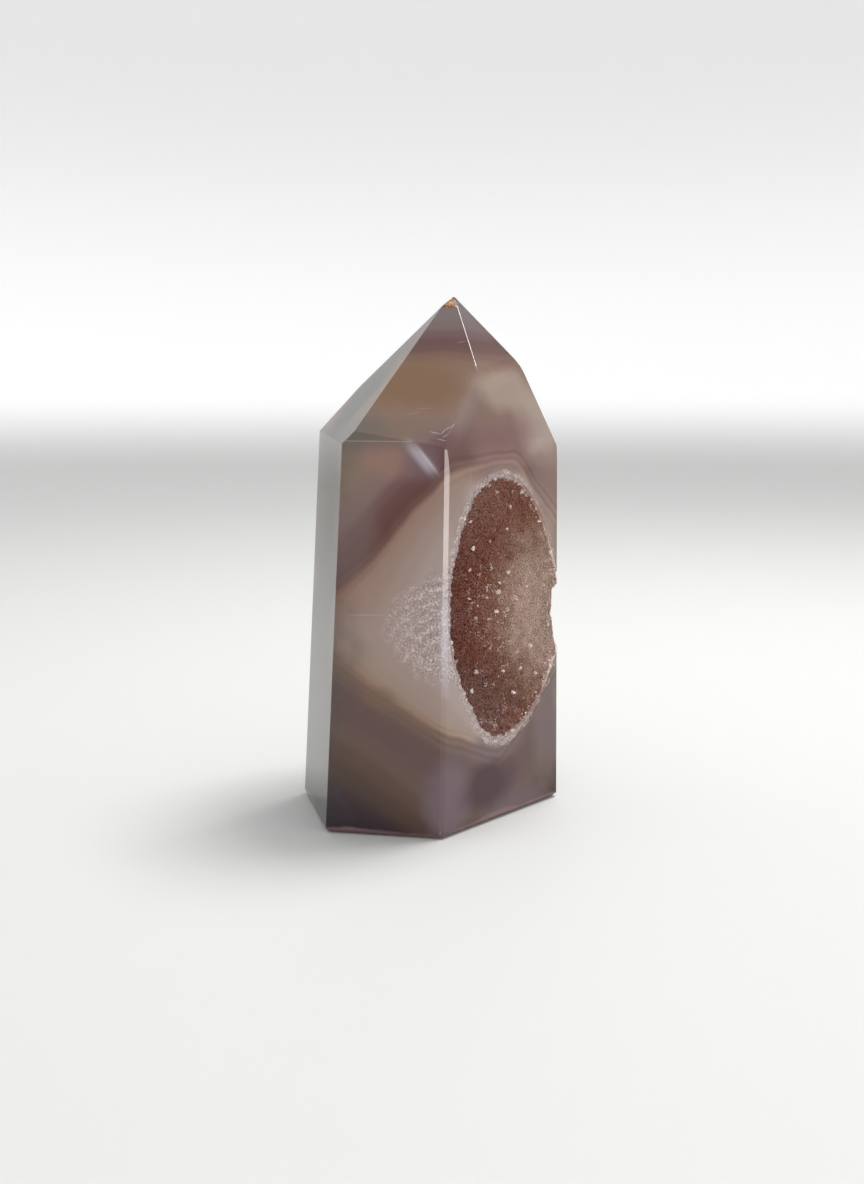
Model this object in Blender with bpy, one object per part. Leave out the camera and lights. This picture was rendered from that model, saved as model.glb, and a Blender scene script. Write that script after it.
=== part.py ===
# Druzy agate tower: a six-sided polished point of banded agate, ground flat at the
# bottom, with an open hollow in its front face that is lined with small quartz crystals.
# Metres, +Z up. The front face, which holds the hollow, looks along -Y. The origin lies
# under the middle of the base.

import math
import random

import bmesh
import bpy
from mathutils import Matrix, Vector, noise

MM = 0.001

# The rough block that the stone is ground from
ROUGH_SIZE = 200 * MM

# The base lies this far under the level where the faces' distances hold
BASE_DROP = 0.6 * MM

# The ground faces of the body, going round the stone: azimuth from the front face in
# degrees, lean of the face in degrees, and distance of its plane from the axis in mm
BODY_FACES = {
    "front": (0.0, 0.27, 14.39),
    "left_front": (-59.4, 1.43, 20.15),
    "left_back": (-124.4, 3.09, 20.25),
    "back": (180.0, 2.0, 18.01),
    "right_back": (124.0, 1.5, 20.0),
    "right_front": (64.0, 0.8, 18.76),
}

# The ground faces of the point, in the same terms. Some sides were ground in two goes.
POINT_FACES = {
    "front_low": (0.3, 14.0, 27.45),
    "front_high": (-7.6, 42.7, 54.23),
    "left_front": (-50.7, 44.0, 53.63),
    "left_back": (-121.1, 42.9, 52.34),
    "back_left_low": (-142.4, 41.8, 53.18),
    "back_left_high": (-142.4, 47.1, 56.73),
    "back": (180.0, 45.0, 56.4),
    "right_back": (124.0, 45.0, 58.8),
    "right_front_low": (64.0, 27.1, 41.83),
    "right_front_high": (64.0, 36.2, 50.21),
}

# How far the polish has rounded an edge, and the number of small flats that do it
EDGE_RADIUS = 0.4 * MM
EDGE_FLATS = 2
BASE_RADIUS = 1.2 * MM
BASE_FLATS = 1
FRONT_LEFT_RADIUS = 1.5 * MM
FRONT_LEFT_FLATS = 1
SOFT_SHOULDER_RADIUS = 34 * MM
SOFT_SHOULDER_FLATS = 5
SOFT_BEND_RADIUS = 11 * MM
SOFT_BEND_FLATS = 6
SOFT_CORNER_RADIUS = 3 * MM
SOFT_CORNER_FLATS = 3

# A corner this near to a cutting plane lies in it
CUT_REACH = 0.0001 * MM
# Corners nearer than this are one, and faces that turn less than this are one face
SLIVER = 0.04 * MM
FLAT_ANGLE = math.radians(0.3)

# The hollow: an egg-shaped pocket whose middle lies close under the front face
HOLLOW_MIDDLE = Vector((-1.0, -13.4, 32.3)) * MM
HOLLOW_LEFT = 12.5 * MM
HOLLOW_RIGHT = 13.3 * MM
HOLLOW_DEPTH = 11.4 * MM
HOLLOW_HALF_HEIGHT = 20.6 * MM
# Where its right side swells and breaks through the stone's vertical edge
SWELL_REACH = 3.0 * MM
SWELL_HEIGHT = 26.4 * MM
SWELL_SPREAD = 13 * MM
# Where its lower left side stands in, as a direction from the middle
DENT_DIRECTION = Vector((-0.7, 0, -0.71))
DENT_DEPTH = 1.3 * MM
DENT_SPREAD = 0.45
# The slow waves in its wall
WAVE_DEPTH = 0.2 * MM
WAVE_LENGTH = 8 * MM

# The crystal crust in the hollow
CRUST_GAP = 0.2 * MM
CRUST_THICKNESS = 0.4 * MM
CRYSTAL_HEIGHT = (0.4 * MM, 1.0 * MM)
CRYSTAL_LEAN = 0.2 * MM
CRYSTAL_SCATTER = 0.24
FOOT_ROUGHNESS = 0.12 * MM
# Beyond this distance to the right the crystals are worn low, where the hollow breaks
# through the stone's edge
WORN_FROM = 12 * MM
WORN_HEIGHT = 0.35
CRYSTAL_ROWS = 14
CRYSTAL_SEED = 7

# The chip beside the tip
CHIP_RADIUS = 1.5 * MM
CHIP_BITE = 0.3 * MM
CHIP_FROM_TIP = 0.9 * MM


def clear_scene():
    for thing in list(bpy.data.objects):
        bpy.data.objects.remove(thing, do_unlink=True)


def material(name, color, roughness, coat=0.0):
    made = bpy.data.materials.new(name)
    made.use_nodes = True
    shader = made.node_tree.nodes["Principled BSDF"]
    shader.inputs["Base Color"].default_value = (*color, 1.0)
    shader.inputs["Roughness"].default_value = roughness
    shader.inputs["Metallic"].default_value = 0.0
    shader.inputs["Coat Weight"].default_value = coat
    made.diffuse_color = (*color, 1.0)
    return made


def add_object(name, bm, finish=None):
    mesh = bpy.data.meshes.new(name)
    bm.to_mesh(mesh)
    bm.free()
    made = bpy.data.objects.new(name, mesh)
    bpy.context.scene.collection.objects.link(made)
    if finish:
        mesh.materials.append(finish)
    return made


def add_cutter(name, bm):
    made = add_object(name, bm)
    made.hide_render = True
    made.display_type = "WIRE"
    return made


def add_boolean(target, cutter, operation):
    step = target.modifiers.new(cutter.name, "BOOLEAN")
    step.operation = operation
    step.solver = "EXACT"
    step.object = cutter


def face_normal(azimuth, lean):
    turn = math.radians(azimuth)
    tilt = math.radians(lean)
    flat = math.cos(tilt)
    return Vector((math.sin(turn) * flat, -math.cos(turn) * flat, math.sin(tilt)))


def grind(bm, normal, distance):
    # Takes away all that stands beyond one plane, and closes the cut with a flat face
    whole = bm.verts[:] + bm.edges[:] + bm.faces[:]
    cut = bmesh.ops.bisect_plane(
        bm,
        geom=whole,
        dist=CUT_REACH,
        plane_co=normal * distance,
        plane_no=normal,
        clear_outer=True,
    )
    rim = [item for item in cut["geom_cut"] if isinstance(item, bmesh.types.BMEdge)]
    if rim:
        bmesh.ops.edgenet_fill(bm, edges=rim)


def polish_edge(bm, first, second, radius, flats):
    # first and second are the planes that meet in the edge, each a normal and a distance.
    # The flats touch a cylinder of the given radius that lies along the edge.
    normal_a, distance_a = first
    normal_b, distance_b = second
    cosine = normal_a.dot(normal_b)
    depth_a = distance_a - radius
    depth_b = distance_b - radius
    share = 1 - cosine * cosine
    center = (
        normal_a * ((depth_a - cosine * depth_b) / share)
        + normal_b * ((depth_b - cosine * depth_a) / share)
    )
    for number in range(flats):
        normal = normal_a.slerp(normal_b, (number + 1) / (flats + 1))
        grind(bm, normal, normal.dot(center) + radius)


def edge_finish(kinds):
    if "base" in kinds:
        return BASE_RADIUS, BASE_FLATS
    if kinds == {"body front", "body left_front"}:
        return FRONT_LEFT_RADIUS, FRONT_LEFT_FLATS
    if kinds == {"body front", "point front_low"}:
        return SOFT_SHOULDER_RADIUS, SOFT_SHOULDER_FLATS
    if kinds == {"point front_low", "point front_high"}:
        return SOFT_BEND_RADIUS, SOFT_BEND_FLATS
    if kinds == {"point front_low", "point left_front"}:
        return SOFT_CORNER_RADIUS, SOFT_CORNER_FLATS
    return EDGE_RADIUS, EDGE_FLATS


def ground_stone():
    # The whole stone before the hollow: every face ground, then every edge polished
    planes = {"base": (Vector((0, 0, -1)), BASE_DROP)}
    for place, (azimuth, lean, distance) in BODY_FACES.items():
        planes["body " + place] = (face_normal(azimuth, lean), distance * MM)
    for place, (azimuth, lean, distance) in POINT_FACES.items():
        planes["point " + place] = (face_normal(azimuth, lean), distance * MM)

    bm = bmesh.new()
    bmesh.ops.create_cube(bm, size=ROUGH_SIZE)
    for normal, distance in planes.values():
        grind(bm, normal, distance)
    bm.normal_update()

    meetings = set()
    for edge in bm.edges:
        kinds = []
        for face in edge.link_faces:
            nearest = max(planes, key=lambda name: planes[name][0].dot(face.normal))
            kinds.append(nearest)
        meetings.add(tuple(sorted(kinds)))
    for first, second in sorted(meetings):
        radius, flats = edge_finish({first, second})
        polish_edge(bm, planes[first], planes[second], radius, flats)

    return closed_convex(bm)


def closed_convex(bm):
    # The stone is convex so far, so its hull is the same solid with every sliver closed
    bmesh.ops.remove_doubles(bm, verts=bm.verts, dist=SLIVER)
    corners = [vert.co.copy() for vert in bm.verts]
    bm.clear()
    for corner in corners:
        bm.verts.new(corner)
    hull = bmesh.ops.convex_hull(bm, input=bm.verts)
    inner = [item for item in hull["geom_interior"] if isinstance(item, bmesh.types.BMVert)]
    bmesh.ops.delete(bm, geom=inner, context="VERTS")
    bmesh.ops.dissolve_limit(
        bm,
        angle_limit=FLAT_ANGLE,
        verts=bm.verts,
        edges=bm.edges,
    )
    bmesh.ops.recalc_face_normals(bm, faces=bm.faces)
    return bm


def base_middle(bm):
    spread_x = [vert.co.x for vert in bm.verts]
    spread_y = [vert.co.y for vert in bm.verts]
    middle_x = (min(spread_x) + max(spread_x)) / 2
    middle_y = (min(spread_y) + max(spread_y)) / 2
    return Vector((middle_x, middle_y, -BASE_DROP))


def hollow_point(direction, inset):
    # A point on the hollow's wall, or the given distance inside it, seen from its middle
    side = HOLLOW_LEFT if direction.x < 0 else HOLLOW_RIGHT
    height = HOLLOW_MIDDLE.z + direction.z * HOLLOW_HALF_HEIGHT
    if direction.x > 0:
        side += SWELL_REACH * math.exp(-(((height - SWELL_HEIGHT) / SWELL_SPREAD) ** 2))
    wall = Vector((
        direction.x * (side - inset),
        direction.y * (HOLLOW_DEPTH - inset),
        direction.z * (HOLLOW_HALF_HEIGHT - inset),
    ))
    full = Vector((
        direction.x * side,
        direction.y * HOLLOW_DEPTH,
        direction.z * HOLLOW_HALF_HEIGHT,
    ))
    wave = noise.noise(full / WAVE_LENGTH) * WAVE_DEPTH
    turn = (direction - DENT_DIRECTION).length / DENT_SPREAD
    dent = DENT_DEPTH * math.exp(-(turn ** 2))
    return HOLLOW_MIDDLE + wall + direction * (wave - dent)


def hollow_body(inset):
    bm = bmesh.new()
    bmesh.ops.create_icosphere(bm, subdivisions=4, radius=1)
    for vert in bm.verts:
        vert.co = hollow_point(vert.co.normalized(), inset)
    bm.normal_update()
    return bm


def crystal_hollow_body():
    # The open space inside the crust. Every first-made vertex is the tip of a crystal and
    # every triangle's middle a low point between three of them, so that turning the edges
    # between tips gives each crystal its six flat faces.
    random_source = random.Random(CRYSTAL_SEED)
    bm = bmesh.new()
    bmesh.ops.create_icosphere(bm, subdivisions=1, radius=1)
    bmesh.ops.subdivide_edges(bm, edges=bm.edges, cuts=CRYSTAL_ROWS - 1, use_grid_fill=True)
    bmesh.ops.triangulate(bm, faces=bm.faces)
    spacing = max(edge.calc_length() for edge in bm.edges)
    for vert in bm.verts:
        scatter = Vector([random_source.uniform(-1, 1) for axis in range(3)])
        vert.co = vert.co.normalized() + scatter * spacing * CRYSTAL_SCATTER
    bm.normal_update()

    tips = set(bm.verts)
    between_tips = list(bm.edges)
    bmesh.ops.poke(bm, faces=bm.faces)
    bmesh.ops.rotate_edges(bm, edges=between_tips, use_ccw=False)

    foot = CRUST_GAP + CRUST_THICKNESS
    for vert in bm.verts:
        direction = vert.co.normalized()
        rise = random_source.uniform(-FOOT_ROUGHNESS, FOOT_ROUGHNESS)
        lean = Vector((0, 0, 0))
        if vert in tips:
            rise = random_source.uniform(*CRYSTAL_HEIGHT)
            lean = Vector([random_source.uniform(-1, 1) for axis in range(3)]) * CRYSTAL_LEAN
        if hollow_point(direction, foot).x > WORN_FROM:
            rise *= WORN_HEIGHT
            lean *= WORN_HEIGHT
        vert.co = hollow_point(direction, foot + rise) + lean
    bmesh.ops.recalc_face_normals(bm, faces=bm.faces)
    return bm


def chip_body(tip):
    # A small ball that bites into the left front face of the point, just under the tip
    azimuth, lean, _distance = POINT_FACES["left_front"]
    outward = face_normal(azimuth, lean)
    downhill = (outward * outward.z - Vector((0, 0, 1))).normalized()
    center = tip + downhill * CHIP_FROM_TIP + outward * (CHIP_RADIUS - CHIP_BITE)
    bm = bmesh.new()
    bmesh.ops.create_icosphere(
        bm,
        subdivisions=3,
        radius=CHIP_RADIUS,
        matrix=Matrix.Translation(center),
    )
    return bm


def main():
    clear_scene()
    agate = material("agate", (0.23, 0.15, 0.13), 0.12, coat=0.5)
    quartz = material("quartz_crystals", (0.30, 0.20, 0.16), 0.30)

    stone = ground_stone()
    tip = max(stone.verts, key=lambda vert: vert.co.z).co.copy()
    to_origin = Matrix.Translation(-base_middle(stone))
    plug = stone.copy()

    tower = add_object("agate_tower", stone, agate)
    crust = add_object("druzy_crust", plug, quartz)
    hollow = add_cutter("hollow_cutter", hollow_body(0.0))
    crust_back = add_cutter("crust_back", hollow_body(CRUST_GAP))
    crust_front = add_cutter("crust_front", crystal_hollow_body())
    chip = add_cutter("chip_cutter", chip_body(tip))

    add_boolean(tower, hollow, "DIFFERENCE")
    add_boolean(tower, chip, "DIFFERENCE")
    add_boolean(crust, crust_back, "INTERSECT")
    add_boolean(crust, crust_front, "DIFFERENCE")

    for made in (tower, crust, hollow, crust_back, crust_front, chip):
        made.data.transform(to_origin)


main()
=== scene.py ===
import math

import bmesh
import bpy
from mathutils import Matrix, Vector, noise


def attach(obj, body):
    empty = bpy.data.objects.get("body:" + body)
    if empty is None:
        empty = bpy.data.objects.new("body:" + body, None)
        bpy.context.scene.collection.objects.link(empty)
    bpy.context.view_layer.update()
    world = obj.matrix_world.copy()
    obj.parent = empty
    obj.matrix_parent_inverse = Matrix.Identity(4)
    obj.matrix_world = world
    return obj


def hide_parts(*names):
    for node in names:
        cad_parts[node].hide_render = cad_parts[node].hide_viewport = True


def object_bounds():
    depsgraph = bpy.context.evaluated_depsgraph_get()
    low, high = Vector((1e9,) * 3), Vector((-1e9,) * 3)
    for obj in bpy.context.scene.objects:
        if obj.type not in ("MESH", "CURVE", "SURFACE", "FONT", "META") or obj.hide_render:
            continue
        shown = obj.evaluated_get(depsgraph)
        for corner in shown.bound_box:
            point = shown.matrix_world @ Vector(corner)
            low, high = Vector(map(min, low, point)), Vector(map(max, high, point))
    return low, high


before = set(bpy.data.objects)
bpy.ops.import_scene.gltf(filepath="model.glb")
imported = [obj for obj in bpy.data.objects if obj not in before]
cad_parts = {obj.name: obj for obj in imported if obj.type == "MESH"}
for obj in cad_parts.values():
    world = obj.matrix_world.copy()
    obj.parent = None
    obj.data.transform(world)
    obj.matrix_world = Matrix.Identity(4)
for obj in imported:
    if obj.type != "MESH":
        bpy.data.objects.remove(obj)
cadLow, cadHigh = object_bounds()
mm = 0.001
print("frame loaded:", ", ".join(sorted(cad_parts)))


# Small helpers for meshes

def meshPiece(name, bm, finishes=()):
    mesh = bpy.data.meshes.new(name)
    bm.to_mesh(mesh)
    bm.free()
    piece = bpy.data.objects.new(name, mesh)
    bpy.context.scene.collection.objects.link(piece)
    for finish in finishes:
        mesh.materials.append(finish)
    return piece


def facePlane(nodeName, direction, spread=1.5):
    # Middle and normal of the flat face of a node that looks in this direction
    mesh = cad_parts[nodeName].data
    nearest = math.cos(math.radians(spread))
    area = 0.0
    middle = Vector()
    normal = Vector()
    for polygon in mesh.polygons:
        if polygon.normal.dot(direction) > nearest:
            area += polygon.area
            middle += polygon.center * polygon.area
            normal += polygon.normal * polygon.area
    return middle / area, normal.normalized()


def compass(azimuth, lean=0.0):
    # Unit vector: azimuth 0 looks along -Y and 90 along +X, lean tips it upwards
    turn = math.radians(azimuth)
    tip = math.radians(lean)
    return Vector((math.sin(turn) * math.cos(tip), -math.cos(turn) * math.cos(tip), math.sin(tip)))


# Small helpers for node trees

def plug(tree, socket, value):
    if isinstance(value, bpy.types.NodeSocket):
        tree.links.new(value, socket)
    else:
        socket.default_value = value


def addNode(tree, kind, inputs=None, **settings):
    node = tree.nodes.new(kind)
    for key, value in settings.items():
        setattr(node, key, value)
    for key, value in (inputs or {}).items():
        plug(tree, node.inputs[key], value)
    return node


def maths(tree, operation, *values, clamp=False):
    node = addNode(tree, "ShaderNodeMath", dict(enumerate(values)), operation=operation)
    node.use_clamp = clamp
    return node.outputs[0]


def vectors(tree, operation, *values):
    node = addNode(tree, "ShaderNodeVectorMath", operation=operation)
    for key, value in enumerate(values):
        plug(tree, node.inputs["Scale" if operation == "SCALE" and key == 1 else key], value)
    single = operation in ("DOT_PRODUCT", "LENGTH", "DISTANCE")
    return node.outputs["Value" if single else "Vector"]


def smoothRange(tree, value, low, high, toLow=0.0, toHigh=1.0):
    inputs = {"Value": value, "From Min": low, "From Max": high, "To Min": toLow, "To Max": toHigh}
    node = addNode(tree, "ShaderNodeMapRange", inputs, interpolation_type="SMOOTHSTEP")
    return node.outputs["Result"]


def plainRange(tree, value, low, high):
    inputs = {"Value": value, "From Min": low, "From Max": high}
    return addNode(tree, "ShaderNodeMapRange", inputs).outputs["Result"]


def blend(tree, factor, first, second, mode="MIX"):
    node = addNode(tree, "ShaderNodeMix", data_type="RGBA", blend_type=mode)
    plug(tree, node.inputs[0], factor)
    plug(tree, node.inputs[6], first)
    plug(tree, node.inputs[7], second)
    return node.outputs[2]


def blendValue(tree, factor, first, second):
    node = addNode(tree, "ShaderNodeMix", data_type="FLOAT")
    plug(tree, node.inputs[0], factor)
    plug(tree, node.inputs[2], first)
    plug(tree, node.inputs[3], second)
    return node.outputs[0]


def screenColor(red, green, blue):
    # A colour as a screen shows it, 0 to 255, as linear light
    linear = []
    for part in (red, green, blue):
        share = part / 255
        linear.append(share / 12.92 if share <= 0.04045 else ((share + 0.055) / 1.055) ** 2.4)
    return (*linear, 1.0)


def ramp(tree, factor, stops, smooth="LINEAR"):
    node = addNode(tree, "ShaderNodeValToRGB", {"Fac": factor})
    node.color_ramp.interpolation = smooth
    elements = node.color_ramp.elements
    while len(elements) < len(stops):
        elements.new(0.5)
    for element, (place, color) in zip(elements, stops):
        element.position = place
        element.color = screenColor(*color)
    return node.outputs["Color"]


def noiseNode(tree, vector, scale, detail=2.0, rough=0.5, output="Fac"):
    inputs = {"Vector": vector, "Scale": scale, "Detail": detail, "Roughness": rough}
    return addNode(tree, "ShaderNodeTexNoise", inputs).outputs[output]


def newGroup(name, inputs, outputs):
    # A shader node group with named sockets: returns the tree, its inputs and its output node
    tree = bpy.data.node_groups.new(name, "ShaderNodeTree")
    for label, kind, value in inputs:
        socket = tree.interface.new_socket(name=label, in_out="INPUT", socket_type="NodeSocket" + kind)
        socket.default_value = value
    for label, kind in outputs:
        tree.interface.new_socket(name=label, in_out="OUTPUT", socket_type="NodeSocket" + kind)
    entry = tree.nodes.new("NodeGroupInput")
    leave = tree.nodes.new("NodeGroupOutput")
    return tree, entry.outputs, leave.inputs


def placeGroup(tree, group, **inputs):
    node = tree.nodes.new("ShaderNodeGroup")
    node.node_tree = group
    for key, value in inputs.items():
        plug(tree, node.inputs[key], value)
    return node.outputs


def newMaterial(name):
    material = bpy.data.materials.new(name)
    material.use_nodes = True
    shader = material.node_tree.nodes["Principled BSDF"]
    return material, material.node_tree, shader


def millimetres(tree, middle):
    # Object coordinates in millimetres, counted from the given point
    place = addNode(tree, "ShaderNodeTexCoord").outputs["Object"]
    mapping = addNode(tree, "ShaderNodeMapping", {"Vector": place})
    mapping.inputs["Scale"].default_value = (1 / mm, 1 / mm, 1 / mm)
    mapping.inputs["Location"].default_value = [-part / mm for part in middle]
    return mapping.outputs["Vector"]


# The hollow, which the agate's layers and its crystals both follow

hollow = {
    "middle": Vector((-0.15, -15.213, 32.9)) * mm,
    "left": 12.5 * mm,
    "right": 13.3 * mm,
    "depth": 11.4 * mm,
    "halfHeight": 20.6 * mm,
    "swell": 3.0 * mm,  # where its right side breaks through the stone's edge
    "swellLevel": -5.9 * mm,
    "swellSpread": 13 * mm,
    "dentDirection": Vector((-0.7, 0, -0.71)),  # where its lower left side stands in
    "dent": 1.3 * mm,
    "dentSpread": 0.45,
    "wave": 0.2 * mm,
    "waveLength": 8 * mm,
}
layersFrom = Vector((1.35, -15.213, 33.1)) * mm  # the agate's colours are placed from here


def hollowPoint(direction, inset):
    # A point on the hollow's wall, or this far inside it, seen from its middle
    side = hollow["left"] if direction.x < 0 else hollow["right"]
    if direction.x > 0:
        level = direction.z * hollow["halfHeight"] - hollow["swellLevel"]
        side += hollow["swell"] * math.exp(-((level / hollow["swellSpread"]) ** 2))
    full = Vector((
        direction.x * side,
        direction.y * hollow["depth"],
        direction.z * hollow["halfHeight"],
    ))
    wave = noise.noise(full / hollow["waveLength"]) * hollow["wave"]
    turn = (direction - hollow["dentDirection"]).length / hollow["dentSpread"]
    dent = hollow["dent"] * math.exp(-(turn ** 2))
    return hollow["middle"] + full + direction * (wave - dent - inset)


# Node groups that more than one finish uses

def makeGrainGroup():
    # Sugary quartz: fine pale grain, dark pits between grains, and a few bright points
    inputs = [("Vector", "Vector", (0, 0, 0)), ("Grain", "Float", 0.3), ("Pits", "Float", 0.5)]
    outputs = [("Grain", "Float"), ("Pit", "Float"), ("Spark", "Float")]
    tree, given, result = newGroup("sugaryQuartz", inputs, outputs)
    perGrain = maths(tree, "DIVIDE", 1.0, given["Grain"])
    fine = noiseNode(tree, given["Vector"], perGrain, 3.0, 0.6)
    cells = addNode(tree, "ShaderNodeTexVoronoi", {"Vector": given["Vector"], "Scale": perGrain})
    mottle = maths(tree, "MULTIPLY", cells.outputs["Distance"], 0.8)
    grain = maths(tree, "ADD", maths(tree, "MULTIPLY", fine, 0.7), maths(tree, "MULTIPLY", mottle, 0.5))
    plug(tree, result["Grain"], smoothRange(tree, grain, 0.32, 0.82))
    pitScale = maths(tree, "DIVIDE", perGrain, 2.1)
    holes = addNode(tree, "ShaderNodeTexVoronoi", {"Vector": given["Vector"], "Scale": pitScale})
    tone = addNode(tree, "ShaderNodeSeparateColor", {"Color": holes.outputs["Color"]})
    chosen = maths(tree, "LESS_THAN", tone.outputs["Red"], given["Pits"])
    size = maths(tree, "MULTIPLY_ADD", tone.outputs["Green"], 0.22, 0.16)
    near = maths(tree, "SUBTRACT", size, holes.outputs["Distance"])
    pit = smoothRange(tree, near, 0.0, 0.12)
    plug(tree, result["Pit"], maths(tree, "MULTIPLY", pit, chosen))
    rare = maths(tree, "GREATER_THAN", tone.outputs["Blue"], 0.93)
    spark = smoothRange(tree, holes.outputs["Distance"], 0.22, 0.1)
    plug(tree, result["Spark"], maths(tree, "MULTIPLY", spark, rare))
    return tree


def makeStreakGroup():
    # A hairline or soft streak between two points, in the units of the vector given.
    # Taper 1 lets it fade out towards both ends.
    inputs = [
        ("Vector", "Vector", (0, 0, 0)),
        ("Start", "Vector", (0, 0, 0)),
        ("End", "Vector", (0, 0, 1)),
        ("Width", "Float", 0.1),
        ("Taper", "Float", 0.0),
    ]
    tree, given, result = newGroup("streak", inputs, [("Mask", "Float")])
    way = vectors(tree, "SUBTRACT", given["End"], given["Start"])
    gone = vectors(tree, "SUBTRACT", given["Vector"], given["Start"])
    share = maths(
        tree, "DIVIDE", vectors(tree, "DOT_PRODUCT", gone, way), vectors(tree, "DOT_PRODUCT", way, way),
        clamp=True,
    )
    foot = vectors(tree, "SCALE", way, share)
    off = vectors(tree, "LENGTH", vectors(tree, "SUBTRACT", gone, foot))
    fade = smoothRange(tree, off, given["Width"], 0.0)
    fromMiddle = maths(tree, "ABSOLUTE", maths(tree, "SUBTRACT", share, 0.5))
    ends = blendValue(tree, given["Taper"], 1.0, smoothRange(tree, fromMiddle, 0.5, 0.1))
    plug(tree, result["Mask"], maths(tree, "MULTIPLY", fade, ends))
    return tree


def makeCloudGroup():
    # A soft egg-shaped cloud of colour with a ragged edge
    inputs = [
        ("Vector", "Vector", (0, 0, 0)),
        ("Middle", "Vector", (0, 0, 0)),
        ("Size", "Vector", (1, 1, 1)),
        ("Ragged", "Float", 0.0),
    ]
    tree, given, result = newGroup("cloud", inputs, [("Mask", "Float")])
    off = vectors(tree, "DIVIDE", vectors(tree, "SUBTRACT", given["Vector"], given["Middle"]), given["Size"])
    reach = maths(tree, "ADD", vectors(tree, "LENGTH", off), given["Ragged"])
    plug(tree, result["Mask"], smoothRange(tree, reach, 1.25, 0.45))
    return tree


grainGroup = makeGrainGroup()
streakGroup = makeStreakGroup()
cloudGroup = makeCloudGroup()
print("node groups made")


# The agate. Places are millimetres from layersFrom, colours as a screen shows them.

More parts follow.
